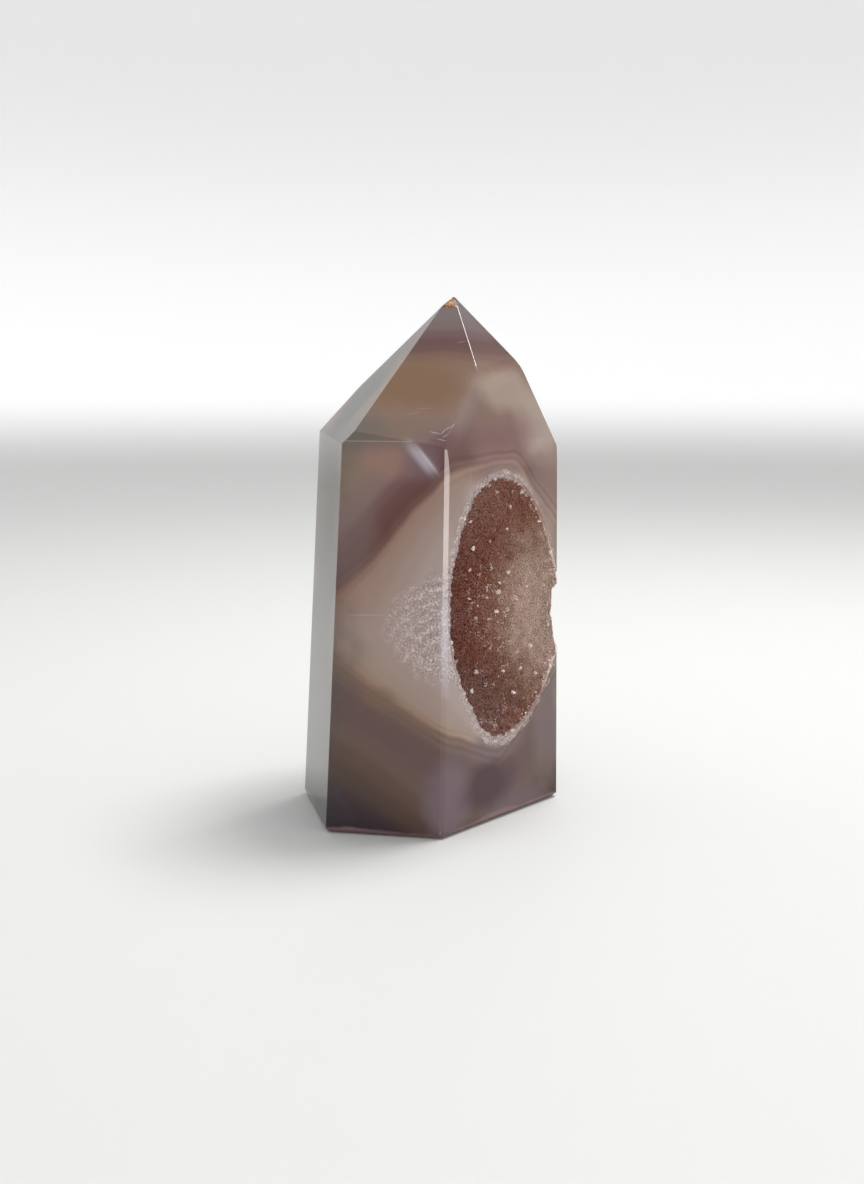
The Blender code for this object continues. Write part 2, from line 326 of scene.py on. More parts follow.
agateLook = {
    "warp": (0.06, 3.0),  # scale and reach of the slow waves in the bands
    "fineWarp": (0.35, 0.5),
    "planes": [  # the flat fronts of the layers beyond the hollow: normal and distance
        ((-0.237, 0.697, 0.677), 17.4),
        ((-0.357, 0.386, -0.851), 19.9),
        ((0.0, 0.35, 0.937), 21.5),
        ((0.66, 0.1, 0.74), 18.1),
        ((0.62, 0.2, -0.76), 16.3),
    ],
    "corner": 1.6,  # how softly two fronts meet
    "outerReach": 28.0,  # how far the bands go on beyond the fronts
    "lowerToUpper": (-3.0, 3.0),  # heights over which one row of bands takes over from the other
    "upperBands": [
        (0.0, (165, 150, 145)),
        (0.12, (163, 147, 141)),
        (0.22, (157, 138, 130)),
        (0.33, (152, 129, 119)),
        (0.41, (149, 124, 113)),
        (0.45, (140, 113, 102)),
        (0.48, (125, 97, 89)),
        (0.50, (109, 82, 76)),
        (0.52, (101, 74, 70)),
        (0.545, (105, 77, 75)),
        (0.575, (114, 88, 88)),
        (0.605, (130, 108, 104)),
        (0.65, (131, 112, 101)),
        (0.70, (125, 108, 96)),
        (1.0, (118, 102, 94)),
    ],
    "lowerBands": [
        (0.0, (165, 150, 147)),
        (0.12, (162, 146, 142)),
        (0.25, (156, 138, 130)),
        (0.36, (153, 134, 123)),
        (0.42, (147, 124, 111)),
        (0.46, (134, 110, 96)),
        (0.49, (122, 99, 88)),
        (0.515, (112, 92, 85)),
        (0.545, (102, 83, 80)),
        (0.59, (101, 82, 81)),
        (0.65, (104, 86, 80)),
        (0.69, (96, 77, 70)),
        (0.74, (84, 68, 62)),
        (0.80, (68, 56, 60)),
        (0.86, (60, 50, 56)),
        (1.0, (58, 48, 54)),
    ],
    "tipPlane": (0.0, 0.05, 1.0),
    "tipRange": (26.0, 52.0),
    "tipBands": [
        (0.0, (140, 115, 105)),
        (0.36, (141, 117, 104)),
        (0.41, (138, 112, 99)),
        (0.46, (126, 100, 91)),
        (0.51, (112, 87, 82)),
        (0.56, (109, 84, 82)),
        (0.61, (114, 93, 91)),
        (0.67, (122, 106, 105)),
        (0.75, (124, 112, 111)),
        (1.0, (120, 108, 108)),
    ],
    "tipFrom": (25.0, 31.0),  # heights over which the tip's level layers take over
    "ragged": (0.16, 0.7),  # scale and reach of the clouds' ragged edges
    # Clouds of another tone: middle, size, colour and strength
    "clouds": [
        ((-10.5, 8.5, 33.8), (9.0, 8.0, 4.2), (132, 105, 84), 0.9),
        ((-20.5, 11.5, 27.0), (5.0, 5.0, 3.5), (119, 110, 104), 0.8),
        ((8.5, 1.0, 28.0), (6.0, 9.0, 6.5), (178, 160, 149), 0.9),
        ((2.0, 1.0, 33.0), (7.5, 7.0, 3.4), (174, 155, 143), 0.85),
        ((-18.6, 7.1, 22.9), (4.0, 5.0, 3.0), (145, 114, 103), 0.75),
        ((-16.3, 2.6, 23.0), (3.4, 3.4, 3.0), (120, 96, 103), 0.7),
        ((-2.0, -1.0, 27.0), (11.0, 3.0, 4.6), (141, 110, 106), 0.75),
        ((-2.0, -1.0, 21.6), (8.5, 3.0, 2.6), (132, 105, 100), 0.75),
        ((-12.8, -1.5, -27.5), (5.2, 4.0, 7.0), (112, 97, 103), 0.9),
        ((2.0, -1.0, -33.0), (9.0, 4.0, 4.5), (111, 96, 99), 0.8),
        ((-4.0, -1.5, -27.2), (6.6, 4.0, 4.2), (80, 60, 66), 0.9),
        ((-3.5, -1.0, -21.3), (8.0, 3.0, 2.6), (115, 98, 101), 0.8),
        ((10.5, 0.0, -17.0), (4.6, 6.0, 13.0), (117, 101, 100), 0.85),
        ((10.8, 0.0, 12.0), (3.6, 5.0, 10.0), (151, 128, 119), 0.8),
        ((13.2, 0.0, 5.0), (1.6, 4.0, 30.0), (130, 121, 116), 0.6),
        ((9.4, -0.7, 19.5), (4.4, 3.0, 5.2), (136, 114, 108), 0.85),
        ((-11.8, -0.7, 15.0), (2.2, 2.5, 6.0), (150, 131, 124), 0.6),
        ((-19.8, 7.2, -11.8), (2.6, 3.2, 2.0), (120, 96, 82), 0.6),
        ((-21.0, 25.0, 0.0), (10.0, 13.0, 60.0), (86, 84, 82), 0.9),
        ((-22.0, 11.0, 12.0), (3.5, 5.0, 8.0), (120, 104, 102), 0.45),
        # painted shade: the foot of the left face is darkened, standing in for the floor's shadow mirrored
        # in it
        ((-21.0, 25.0, -34.0), (12.0, 14.0, 8.0), (68, 67, 68), 0.8),
        ((-10.5, 21.0, 35.0), (9.0, 6.5, 14.0), (70, 72, 74), 0.9),
    ],
    "footBand": (-31.8, -32.3, (150, 122, 124), 0.5),  # the pinkish light on the ground base edge
    # pale colour of the scuffs, and of the painted highlights along the edges
    "scuffAndSheen": (214, 212, 222),
    "veil": 0.03,  # light that the polish mirrors on top of every colour
    "gain": 1.2,
    "tipGain": 0.75,  # the leaned faces of the point take more light from above
    "tipGainFrom": (23.0, 27.0),
    "polish": (0.07, 0.13),  # roughness, from clear to smudged
    "scatter": (0.12, (1.0, 0.7, 0.6), 1.6 * mm),  # weight, spread and depth of the light inside
    "quartzMiddle": (-13.85, 1.2, -1.5),
    "quartzSize": (8.6, 9.2),
    "quartzPower": 1.4,
    "quartzGrain": (0.3, 0.3),  # size of a grain, and the share of dark pits
    "quartzStreaks": (0.8, 0.9),
    "rimWidth": 0.62,
    "quartz": (164, 147, 144),
    "quartzDark": (146, 128, 126),
    "quartzPale": (208, 194, 190),
    "pit": (84, 66, 69),
    "spark": (240, 232, 232),
    "patchFades": (-19.5, -14.5, 0.38, 0.92),  # from left to right, and how dense it is at each
    "pitFades": (-18.0, -14.0, 0.15, 0.8),
    "ringBreaks": (0.5, 6.0),  # from left to right, where the ring breaks up into single grains
    "growthLines": (1.15, 2.4, 0.14),  # spacing, reach and strength of the fine lines at the front
    "fansFrom": (-9.0, 0.0, -9.0),  # the quartz patch fans out from here in fine arcs
    "fans": (1.5, 0.12),
}

stains = {
    "chip": (2.1, 12.8, 46.4),
    "chipSize": (1.35, 1.3, 1.15),
    "ragged": (1.6, 0.9),
    "rust": [(0.0, (96, 60, 22)), (0.45, (142, 88, 28)), (0.75, (176, 118, 44)), (1.0, (214, 168, 84))],
}

# Hairlines and scuffs in the polish, and painted highlights along some edges: start, end, width, strength
# and taper
scuffsAndHighlights = [
    ((-3.74, 1.75, 34.47), (2.3, 10.9, 45.4), 0.13, 0.75, 0.0),  # painted highlight along the edge under the tip
    ((-13.4, -0.73, 25.0), (-3.9, 1.6, 34.3), 2.2, 0.08, 0.6),  # soft painted sheen down the blunt edge
    ((-17.4, 5.0, 26.4), (-14.5, 0.3, 20.0), 1.3, 0.42, 1.0),  # painted highlight under the shoulder, this line and the next
    ((-16.6, 3.7, 25.6), (-14.3, 0.0, 20.2), 0.4, 0.4, 1.0),
    ((-14.6, -0.9, 6.0), (-14.5, -1.0, -11.0), 1.3, 0.5, 0.8),  # painted highlight down the front edge, over its sparkling grain
    ((-21.58, 12.29, 25.54), (-16.62, 3.91, 25.5), 0.14, 0.25, 0.0),  # shoulder line
    ((-22.56, 12.7, 0.12), (-18.34, 5.58, 0.38), 0.11, 0.2, 1.0),
    ((-8.87, -0.72, 29.25), (-8.83, -0.83, 2.14), 0.1, 0.16, 1.0),
    ((-2.3, -0.5, 27.0), (-2.3, -0.8, 22.0), 0.1, 0.14, 1.0),
    ((-2.07, 8.06, 39.94), (-0.59, 6.72, 40.25), 0.12, 0.25, 1.0),
    ((-13.5, 6.9, 29.9), (-10.6, 3.9, 30.3), 0.16, 0.14, 1.0),
    ((-14.6, 7.0, 29.1), (-12.3, 5.1, 29.9), 0.14, 0.12, 1.0),
]
for start, end in [
    ((-13.9, 2.6, 26.9), (-13.2, 1.3, 26.5)),
    ((-13.1, 1.2, 26.6), (-12.3, 1.1, 27.3)),
    ((-12.4, 1.1, 27.2), (-11.5, 0.8, 27.5)),
    ((-11.6, 0.8, 27.3), (-10.56, 0.61, 28.25)),
    ((-13.3, 0.7, 26.1), (-12.2, 0.5, 26.6)),
    ((-12.3, 0.5, 26.8), (-11.07, 0.37, 27.69)),
    ((-14.1, 1.3, 26.0), (-13.6, 0.4, 25.7)),
    ((-13.6, 0.4, 25.7), (-12.95, -0.3, 25.74)),
    ((-15.5, -0.7, -32.1), (-15.1, -1.3, -30.8)),
    ((-15.5, -0.85, -30.4), (-14.85, -1.85, -31.4)),
    ((-15.0, -1.6, -32.2), (-14.8, -1.9, -31.4)),
]:
    scuffsAndHighlights.append((start, end, 0.17, 0.42, 0.5))


def bandColor(tree, place):
    # The layered colours: shells near the hollow, flat fronts beyond, level layers in the tip
    look = agateLook
    slow = noiseNode(tree, place, look["warp"][0], 2.0, 0.5, "Color")
    fine = noiseNode(tree, place, look["fineWarp"][0], 2.0, 0.5, "Color")
    slow = vectors(tree, "SCALE", vectors(tree, "SUBTRACT", slow, (0.5, 0.5, 0.5)), look["warp"][1])
    fine = vectors(tree, "SCALE", vectors(tree, "SUBTRACT", fine, (0.5, 0.5, 0.5)), look["fineWarp"][1])
    bent = vectors(tree, "ADD", place, vectors(tree, "ADD", slow, fine))

    outer = None
    for normal, distance in look["planes"]:
        beyond = maths(tree, "SUBTRACT", vectors(tree, "DOT_PRODUCT", bent, normal), distance)
        if outer is None:
            outer = beyond
        else:
            outer = maths(tree, "SMOOTH_MAX", outer, beyond, look["corner"])
    wall = wallDistance(tree, place)
    before = maths(tree, "MAXIMUM", maths(tree, "MULTIPLY", outer, -1.0), 0.0)
    after = maths(tree, "MAXIMUM", outer, 0.0)
    span = maths(tree, "ADD", maths(tree, "ADD", wall, before), 0.01)
    share = maths(tree, "DIVIDE", wall, span, clamp=True)
    count = maths(
        tree, "ADD", maths(tree, "MULTIPLY", share, 0.5),
        maths(tree, "DIVIDE", after, 2 * look["outerReach"]),
    )
    height = addNode(tree, "ShaderNodeSeparateXYZ", {"Vector": bent}).outputs["Z"]
    upper = ramp(tree, count, look["upperBands"], "EASE")
    lower = ramp(tree, count, look["lowerBands"], "EASE")
    color = blend(tree, smoothRange(tree, height, *look["lowerToUpper"]), lower, upper)

    level = vectors(tree, "DOT_PRODUCT", bent, look["tipPlane"])
    low, high = look["tipRange"]
    tipCount = plainRange(tree, level, low, high)
    tip = ramp(tree, tipCount, look["tipBands"], "EASE")
    color = blend(tree, smoothRange(tree, height, *look["tipFrom"]), color, tip)

    scale, reach = look["ragged"]
    ragged = maths(tree, "SUBTRACT", noiseNode(tree, place, scale, 3.0), 0.5)
    ragged = maths(tree, "MULTIPLY", ragged, reach)
    for middle, size, tone, strength in look["clouds"]:
        mask = placeGroup(tree, cloudGroup, Vector=bent, Middle=middle, Size=size, Ragged=ragged)["Mask"]
        color = blend(tree, maths(tree, "MULTIPLY", mask, strength), color, screenColor(*tone))

    # Fine growth lines along the fronts, where the front face cuts them
    spacing, reach, strength = look["growthLines"]
    beat = maths(tree, "SINE", maths(tree, "MULTIPLY", outer, math.tau / spacing))
    near = smoothRange(tree, maths(tree, "ABSOLUTE", outer), reach, 0.0)
    front = addNode(tree, "ShaderNodeSeparateXYZ", {"Vector": place}).outputs["Y"]
    near = maths(tree, "MULTIPLY", near, smoothRange(tree, front, 1.5, -0.5, 0.25, 1.0))
    lines = maths(tree, "MULTIPLY", maths(tree, "MULTIPLY", beat, near), strength)
    color = vectors(tree, "SCALE", color, maths(tree, "ADD", lines, 1.0))
    return color, wall, height


def wallDistance(tree, place):
    # How far a point lies outside the hollow's wall
    place = vectors(tree, "SUBTRACT", place, (hollow["middle"] - layersFrom) / mm)
    parts = addNode(tree, "ShaderNodeSeparateXYZ", {"Vector": place}).outputs
    level = maths(tree, "SUBTRACT", parts["Z"], hollow["swellLevel"] / mm)
    level = maths(tree, "DIVIDE", level, hollow["swellSpread"] / mm)
    bell = maths(tree, "EXPONENT", maths(tree, "MULTIPLY", maths(tree, "MULTIPLY", level, level), -1.0))
    right = maths(tree, "MULTIPLY_ADD", bell, hollow["swell"] / mm, hollow["right"] / mm)
    side = blendValue(tree, maths(tree, "GREATER_THAN", parts["X"], 0.0), hollow["left"] / mm, right)
    size = addNode(tree, "ShaderNodeCombineXYZ", {
        "X": side, "Y": hollow["depth"] / mm, "Z": hollow["halfHeight"] / mm,
    }).outputs["Vector"]
    once = vectors(tree, "DIVIDE", place, size)
    twice = vectors(tree, "DIVIDE", once, size)
    reach = vectors(tree, "LENGTH", once)
    slope = vectors(tree, "LENGTH", twice)
    wall = maths(tree, "DIVIDE", maths(tree, "MULTIPLY", reach, maths(tree, "SUBTRACT", reach, 1.0)), slope)
    turn = vectors(tree, "DISTANCE", vectors(tree, "NORMALIZE", once), hollow["dentDirection"])
    turn = maths(tree, "DIVIDE", turn, hollow["dentSpread"])
    dent = maths(tree, "EXPONENT", maths(tree, "MULTIPLY", maths(tree, "MULTIPLY", turn, turn), -1.0))
    wall = maths(tree, "MULTIPLY_ADD", dent, hollow["dent"] / mm, wall)
    return maths(tree, "MAXIMUM", wall, 0.0)


def quartzMask(tree, place, wall):
    # Where the polish cuts the quartz layer: a ring round the mouth and a patch beside it
    look = agateLook
    off = vectors(tree, "ABSOLUTE", vectors(tree, "SUBTRACT", place, look["quartzMiddle"]))
    parts = addNode(tree, "ShaderNodeSeparateXYZ", {"Vector": off}).outputs
    flat = maths(
        tree, "SQRT",
        maths(tree, "ADD", maths(tree, "POWER", parts["X"], 2.0), maths(tree, "POWER", parts["Y"], 2.0)),
    )
    wide, high = look["quartzSize"]
    reach = maths(
        tree, "ADD",
        maths(tree, "POWER", maths(tree, "DIVIDE", flat, wide), look["quartzPower"]),
        maths(tree, "POWER", maths(tree, "DIVIDE", parts["Z"], high), look["quartzPower"]),
    )
    ragged = maths(tree, "SUBTRACT", noiseNode(tree, place, 0.45, 4.0, 0.65), 0.5)
    reach = maths(tree, "MULTIPLY_ADD", ragged, 0.7, reach)
    patch = smoothRange(tree, reach, 1.08, 0.72)
    ringEdge = maths(tree, "MULTIPLY_ADD", ragged, 2.6, wall)
    ring = smoothRange(tree, ringEdge, look["rimWidth"] * 1.5, look["rimWidth"] * 0.4)
    right = addNode(tree, "ShaderNodeSeparateXYZ", {"Vector": place}).outputs["X"]
    loose = smoothRange(tree, noiseNode(tree, place, 0.9, 3.0, 0.6), 0.5, 0.62)
    broken = smoothRange(tree, right, *look["ringBreaks"])
    ring = maths(tree, "MULTIPLY", ring, blendValue(tree, broken, 1.0, loose))
    return maths(tree, "MAXIMUM", patch, ring), right


def makeAgate():
    material, tree, shader = newMaterial("polishedAgate")
    place = millimetres(tree, layersFrom)
    color, wall, height = bandColor(tree, place)
    look = agateLook
    footFrom, footTo, footTone, strength = look["footBand"]
    foot = smoothRange(tree, height, footFrom, footTo)
    color = blend(tree, maths(tree, "MULTIPLY", foot, strength), color, screenColor(*footTone))

    quartz, right = quartzMask(tree, place, wall)
    grainSize, pits = look["quartzGrain"]
    grain = placeGroup(tree, grainGroup, Vector=place, Grain=grainSize, Pits=pits)
    along = vectors(tree, "MULTIPLY", place, (0.5, 0.5, 1.6))
    scale, strength = look["quartzStreaks"]
    streaky = noiseNode(tree, along, scale, 4.0, 0.65)
    soft = maths(tree, "MULTIPLY_ADD", maths(tree, "SUBTRACT", streaky, 0.5), strength, grain["Grain"])
    spacing, strength = look["fans"]
    out = maths(tree, "MULTIPLY_ADD", streaky, 1.6, vectors(tree, "DISTANCE", place, look["fansFrom"]))
    arcs = maths(tree, "SINE", maths(tree, "MULTIPLY", out, math.tau / spacing))
    arcs = maths(tree, "MULTIPLY", arcs, smoothRange(tree, out, 6.0, 10.0))
    soft = maths(tree, "MULTIPLY_ADD", arcs, strength, soft)
    sugar = ramp(tree, soft, [
        (0.0, look["quartzDark"]), (0.45, look["quartz"]), (1.0, look["quartzPale"]),
    ])
    pitShare = smoothRange(tree, right, *look["pitFades"])
    dark = maths(tree, "MULTIPLY", grain["Pit"], pitShare)
    sugar = blend(tree, dark, sugar, screenColor(*look["pit"]))
    sugar = blend(tree, maths(tree, "MULTIPLY", grain["Spark"], 0.9), sugar, screenColor(*look["spark"]))
    dense = maths(tree, "MULTIPLY", quartz, smoothRange(tree, right, *look["patchFades"]))
    color = blend(tree, dense, color, sugar)

    # Pale lines: real scuffs and hairlines, and painted highlights along the edge under the tip, the blunt
    # edge, under the shoulder and down the front edge
    for start, end, width, strength, taper in scuffsAndHighlights:
        mask = placeGroup(
            tree, streakGroup, Vector=place, Start=start, End=end, Width=width, Taper=taper,
        )["Mask"]
        color = blend(tree, maths(tree, "MULTIPLY", mask, strength), color, screenColor(*look["scuffAndSheen"]))

    # The colours above are as the eye meets them, so what the polish adds comes off here
    low, high = look["tipGainFrom"]
    gain = smoothRange(tree, height, low, high, look["gain"], look["gain"] * look["tipGain"])
    color = vectors(tree, "SCALE", vectors(tree, "SUBTRACT", color, (look["veil"],) * 3), gain)
    color = vectors(tree, "MAXIMUM", color, (0.004, 0.003, 0.0035))

    scale, reach = stains["ragged"]
    ragged = maths(tree, "SUBTRACT", noiseNode(tree, place, scale, 3.0), 0.5)
    ragged = maths(tree, "MULTIPLY", ragged, reach)
    chip = placeGroup(
        tree, cloudGroup, Vector=place, Middle=stains["chip"], Size=stains["chipSize"], Ragged=ragged,
    )["Mask"]
    rust = ramp(tree, noiseNode(tree, place, 2.2, 3.0, 0.6), stains["rust"])
    color = blend(tree, chip, color, rust)

    plug(tree, shader.inputs["Base Color"], color)
    smudge = smoothRange(tree, noiseNode(tree, place, 0.12, 4.0, 0.6), 0.35, 0.75, *look["polish"])
    rough = maths(tree, "MULTIPLY_ADD", quartz, 0.08, smudge)
    rough = maths(tree, "MULTIPLY_ADD", chip, 0.4, rough)
    plug(tree, shader.inputs["Roughness"], rough)
    shader.inputs["IOR"].default_value = 1.47
    weight, spread, depth = look["scatter"]
    shader.inputs["Subsurface Weight"].default_value = weight
    shader.inputs["Subsurface Radius"].default_value = spread
    shader.inputs["Subsurface Scale"].default_value = depth

    dimple = maths(tree, "MULTIPLY", maths(tree, "MULTIPLY", grain["Pit"], quartz), -0.04)
    swell = maths(tree, "MULTIPLY", noiseNode(tree, place, 0.1, 0.0), 0.012)
    height = maths(tree, "ADD", dimple, swell)
    height = maths(tree, "ADD", height, maths(tree, "MULTIPLY", maths(tree, "MULTIPLY", rough, chip), 0.6))
    bump = addNode(tree, "ShaderNodeBump", {"Height": height, "Distance": mm, "Strength": 1.0})
    plug(tree, shader.inputs["Normal"], bump.outputs["Normal"])
    return material


# The crystals that line the hollow

lining = {
    "sink": 0.12 * mm,  # how far the shell's back reaches into the stone's wall
    "thickness": 0.5 * mm,
    "frontDetail": 6,  # rounds of subdivision of its two sides
    "backDetail": 5,
    "recess": 0.06 * mm,  # how far its cut front lies under the polished face
    "crystalRecess": 0.03 * mm,
    "lump": (1.5 * mm, 0.42 * mm),  # length and height of its lumps
    "spacing": 0.3 * mm,
    "radius": 0.23 * mm,
    "height": 0.3 * mm,
    "lean": 0.45,
    "brightSpacing": 0.5 * mm,
    "brightDensity": 4.5e4,  # in each square metre of wall
    "size": (0.7, 1.25),
    "rimSize": (1.1, 1.9),
    "brightSize": (1.0, 2.5),
    "rimBrightSize": (0.9, 1.9),
    "rimSpacing": 0.6 * mm,
    "rimBrightDensity": 2.2e5,
    "rimDepth": 1.3 * mm,
}


def polishedPlanes():
    # The two flat faces that the hollow breaks through
    return [facePlane("agate_tower", compass(0)), facePlane("agate_tower", compass(64, 0.8))]


def cutAtFaces(bm, recess):
    # Takes away all that stands in front of the polished faces, less the recess
    for middle, normal in polishedPlanes():
        whole = bm.verts[:] + bm.edges[:] + bm.faces[:]
        bmesh.ops.bisect_plane(
            bm, geom=whole, dist=1e-8, plane_co=middle - normal * recess,
            plane_no=normal, clear_outer=True,
        )


def liningShell():
    # A thin shell on the hollow's wall, cut off just under the polished faces. The layer
    # "grow" is 1 where crystals stand, and "rim" is 1 at the mouth.
    planes = polishedPlanes()
    bm = bmesh.new()
    grow = bm.verts.layers.float.new("grow")
    rim = bm.verts.layers.float.new("rim")

    bmesh.ops.create_icosphere(bm, subdivisions=lining["frontDetail"], radius=1)
    length, depth = lining["lump"]
    for vert in bm.verts:
        direction = vert.co.normalized()
        lump = noise.noise(hollowPoint(direction, 0) / length) * depth
        vert.co = hollowPoint(direction, lining["thickness"] + lump)
        vert[grow] = 1.0
    bmesh.ops.reverse_faces(bm, faces=bm.faces)
    bmesh.ops.create_icosphere(bm, subdivisions=lining["backDetail"], radius=1)
    for vert in bm.verts:
        if vert[grow] < 0.5:
            vert.co = hollowPoint(vert.co.normalized(), -lining["sink"])

    cutAtFaces(bm, lining["recess"])
    edges = [edge for edge in bm.edges if edge.is_boundary]
    bmesh.ops.bridge_loops(bm, edges=edges)
    bmesh.ops.triangulate(bm, faces=[face for face in bm.faces if len(face.verts) > 3])

    for vert in bm.verts:
        nearest = min((middle - vert.co).dot(normal) for middle, normal in planes)
        vert[rim] = max(0.0, 1.0 - nearest / lining["rimDepth"])
    return bm


def geometryTree(name):
    tree = bpy.data.node_groups.new(name, "GeometryNodeTree")
    tree.interface.new_socket(name="Geometry", in_out="INPUT", socket_type="NodeSocketGeometry")
    tree.interface.new_socket(name="Geometry", in_out="OUTPUT", socket_type="NodeSocketGeometry")
    entry = tree.nodes.new("NodeGroupInput")
    leave = tree.nodes.new("NodeGroupOutput")
    return tree, entry.outputs[0], leave.inputs[0]


def addCrystals(tree, shell, cone, spacing, density, sizes, bright, seed, most):
    # Six-sided points spread over the shell, each leaned and turned its own way
    lean = lining["lean"]
    spread = addNode(tree, "GeometryNodeDistributePointsOnFaces", {
        "Mesh": shell, "Distance Min": spacing, "Density Max": most, "Seed": seed,
    }, distribute_method="POISSON")
    plug(tree, spread.inputs["Density Factor"], density)
    tilt = addNode(tree, "FunctionNodeRandomValue", data_type="FLOAT_VECTOR")
    tilt.inputs[0].default_value = (-lean, -lean, 0.0)
    tilt.inputs[1].default_value = (lean, lean, math.tau)
    tilt.inputs["Seed"].default_value = seed + 1
    turned = addNode(tree, "FunctionNodeRotateRotation", {
        "Rotation": spread.outputs["Rotation"], "Rotate By": tilt.outputs[0],
    }, rotation_space="LOCAL")
    size = addNode(tree, "FunctionNodeRandomValue", data_type="FLOAT_VECTOR")
    low, high = sizes
    size.inputs[0].default_value = (low, low, low * 0.8)
    size.inputs[1].default_value = (high, high, high * 1.15)
    size.inputs["Seed"].default_value = seed + 2
    placed = addNode(tree, "GeometryNodeInstanceOnPoints", {
        "Points": spread.outputs["Points"], "Instance": cone,
        "Rotation": turned.outputs[0], "Scale": size.outputs[0],
    })
    tone = addNode(tree, "FunctionNodeRandomValue", data_type="FLOAT")
    tone.inputs["Seed"].default_value = seed + 3
    named = addNode(tree, "GeometryNodeStoreNamedAttribute", {
        "Geometry": placed.outputs["Instances"], "Name": "tone",
    }, data_type="FLOAT", domain="INSTANCE")
    plug(tree, named.inputs["Value"], tone.outputs[1])
    marked = addNode(tree, "GeometryNodeStoreNamedAttribute", {
        "Geometry": named.outputs["Geometry"], "Name": "bright", "Value": bright,
    }, data_type="FLOAT", domain="INSTANCE")
    return addNode(tree, "GeometryNodeRealizeInstances", {"Geometry": marked.outputs[0]}).outputs[0]


def crystalTree():
    tree, shell, result = geometryTree("growCrystals")
    cone = addNode(tree, "GeometryNodeMeshCone", {
        "Vertices": 6, "Side Segments": 1, "Fill Segments": 1, "Radius Top": 0.0,
        "Radius Bottom": lining["radius"], "Depth": lining["height"],
    }, fill_type="NGON")
    sunk = addNode(tree, "GeometryNodeTransform", {
        "Geometry": cone.outputs["Mesh"], "Translation": (0, 0, -0.22 * lining["height"]),
    }).outputs["Geometry"]
    grow = addNode(tree, "GeometryNodeInputNamedAttribute", {"Name": "grow"}, data_type="FLOAT").outputs[0]
    rim = addNode(tree, "GeometryNodeInputNamedAttribute", {"Name": "rim"}, data_type="FLOAT").outputs[0]
    rimGrow = maths(tree, "MULTIPLY", grow, rim)
    # Spacing, where they grow, sizes, brightness, seed and most in each square metre
    kinds = [
        (lining["spacing"], grow, lining["size"], 0.0, 11, 3e7),
        (lining["rimSpacing"], rimGrow, lining["rimSize"], 0.5, 37, 3e7),
        (lining["brightSpacing"], grow, lining["brightSize"], 1.0, 23, lining["brightDensity"]),
        (lining["brightSpacing"], rimGrow, lining["rimBrightSize"], 1.0, 41, lining["rimBrightDensity"]),
    ]
    parts = [addCrystals(tree, shell, sunk, *kind) for kind in kinds]
    joined = addNode(tree, "GeometryNodeJoinGeometry")
    for part in [shell] + parts:
        tree.links.new(part, joined.inputs[0])
    plug(tree, result, joined.outputs[0])
    return tree


crystalLook = {
    "across": (-6.0, 12.0),  # the colours below run from left to right through the hollow; the pale right end is partly the crystals' own taupe and partly painted light on the right wall, which lies in shade
    "body": [
        (0.0, (122, 70, 58)),
        (0.33, (126, 70, 58)),
        (0.50, (130, 70, 53)),
        (0.67, (141, 80, 58)),
        (0.82, (168, 125, 104)),
        (0.93, (211, 183, 168)),
        (1.0, (218, 194, 180)),
    ],
    "top": ((4.0, 18.0), (188, 146, 128), 0.4),  # heights, tone and strength
    "foot": ((-8.0, -17.0), (160, 138, 128), 0.35),
    "dusk": (0.86, 0.82, 0.8, 1.0),
    "light": ((214, 172, 150), 0.14),
    "gain": 1.03,
    # painted sparkle: near-white colour and faint glow of the bright crystals
    "bright": (245, 238, 232),
    "glint": (236, 222, 212),
    "glintStrength": 0.22,
    "roughness": (0.2, 0.4),
}


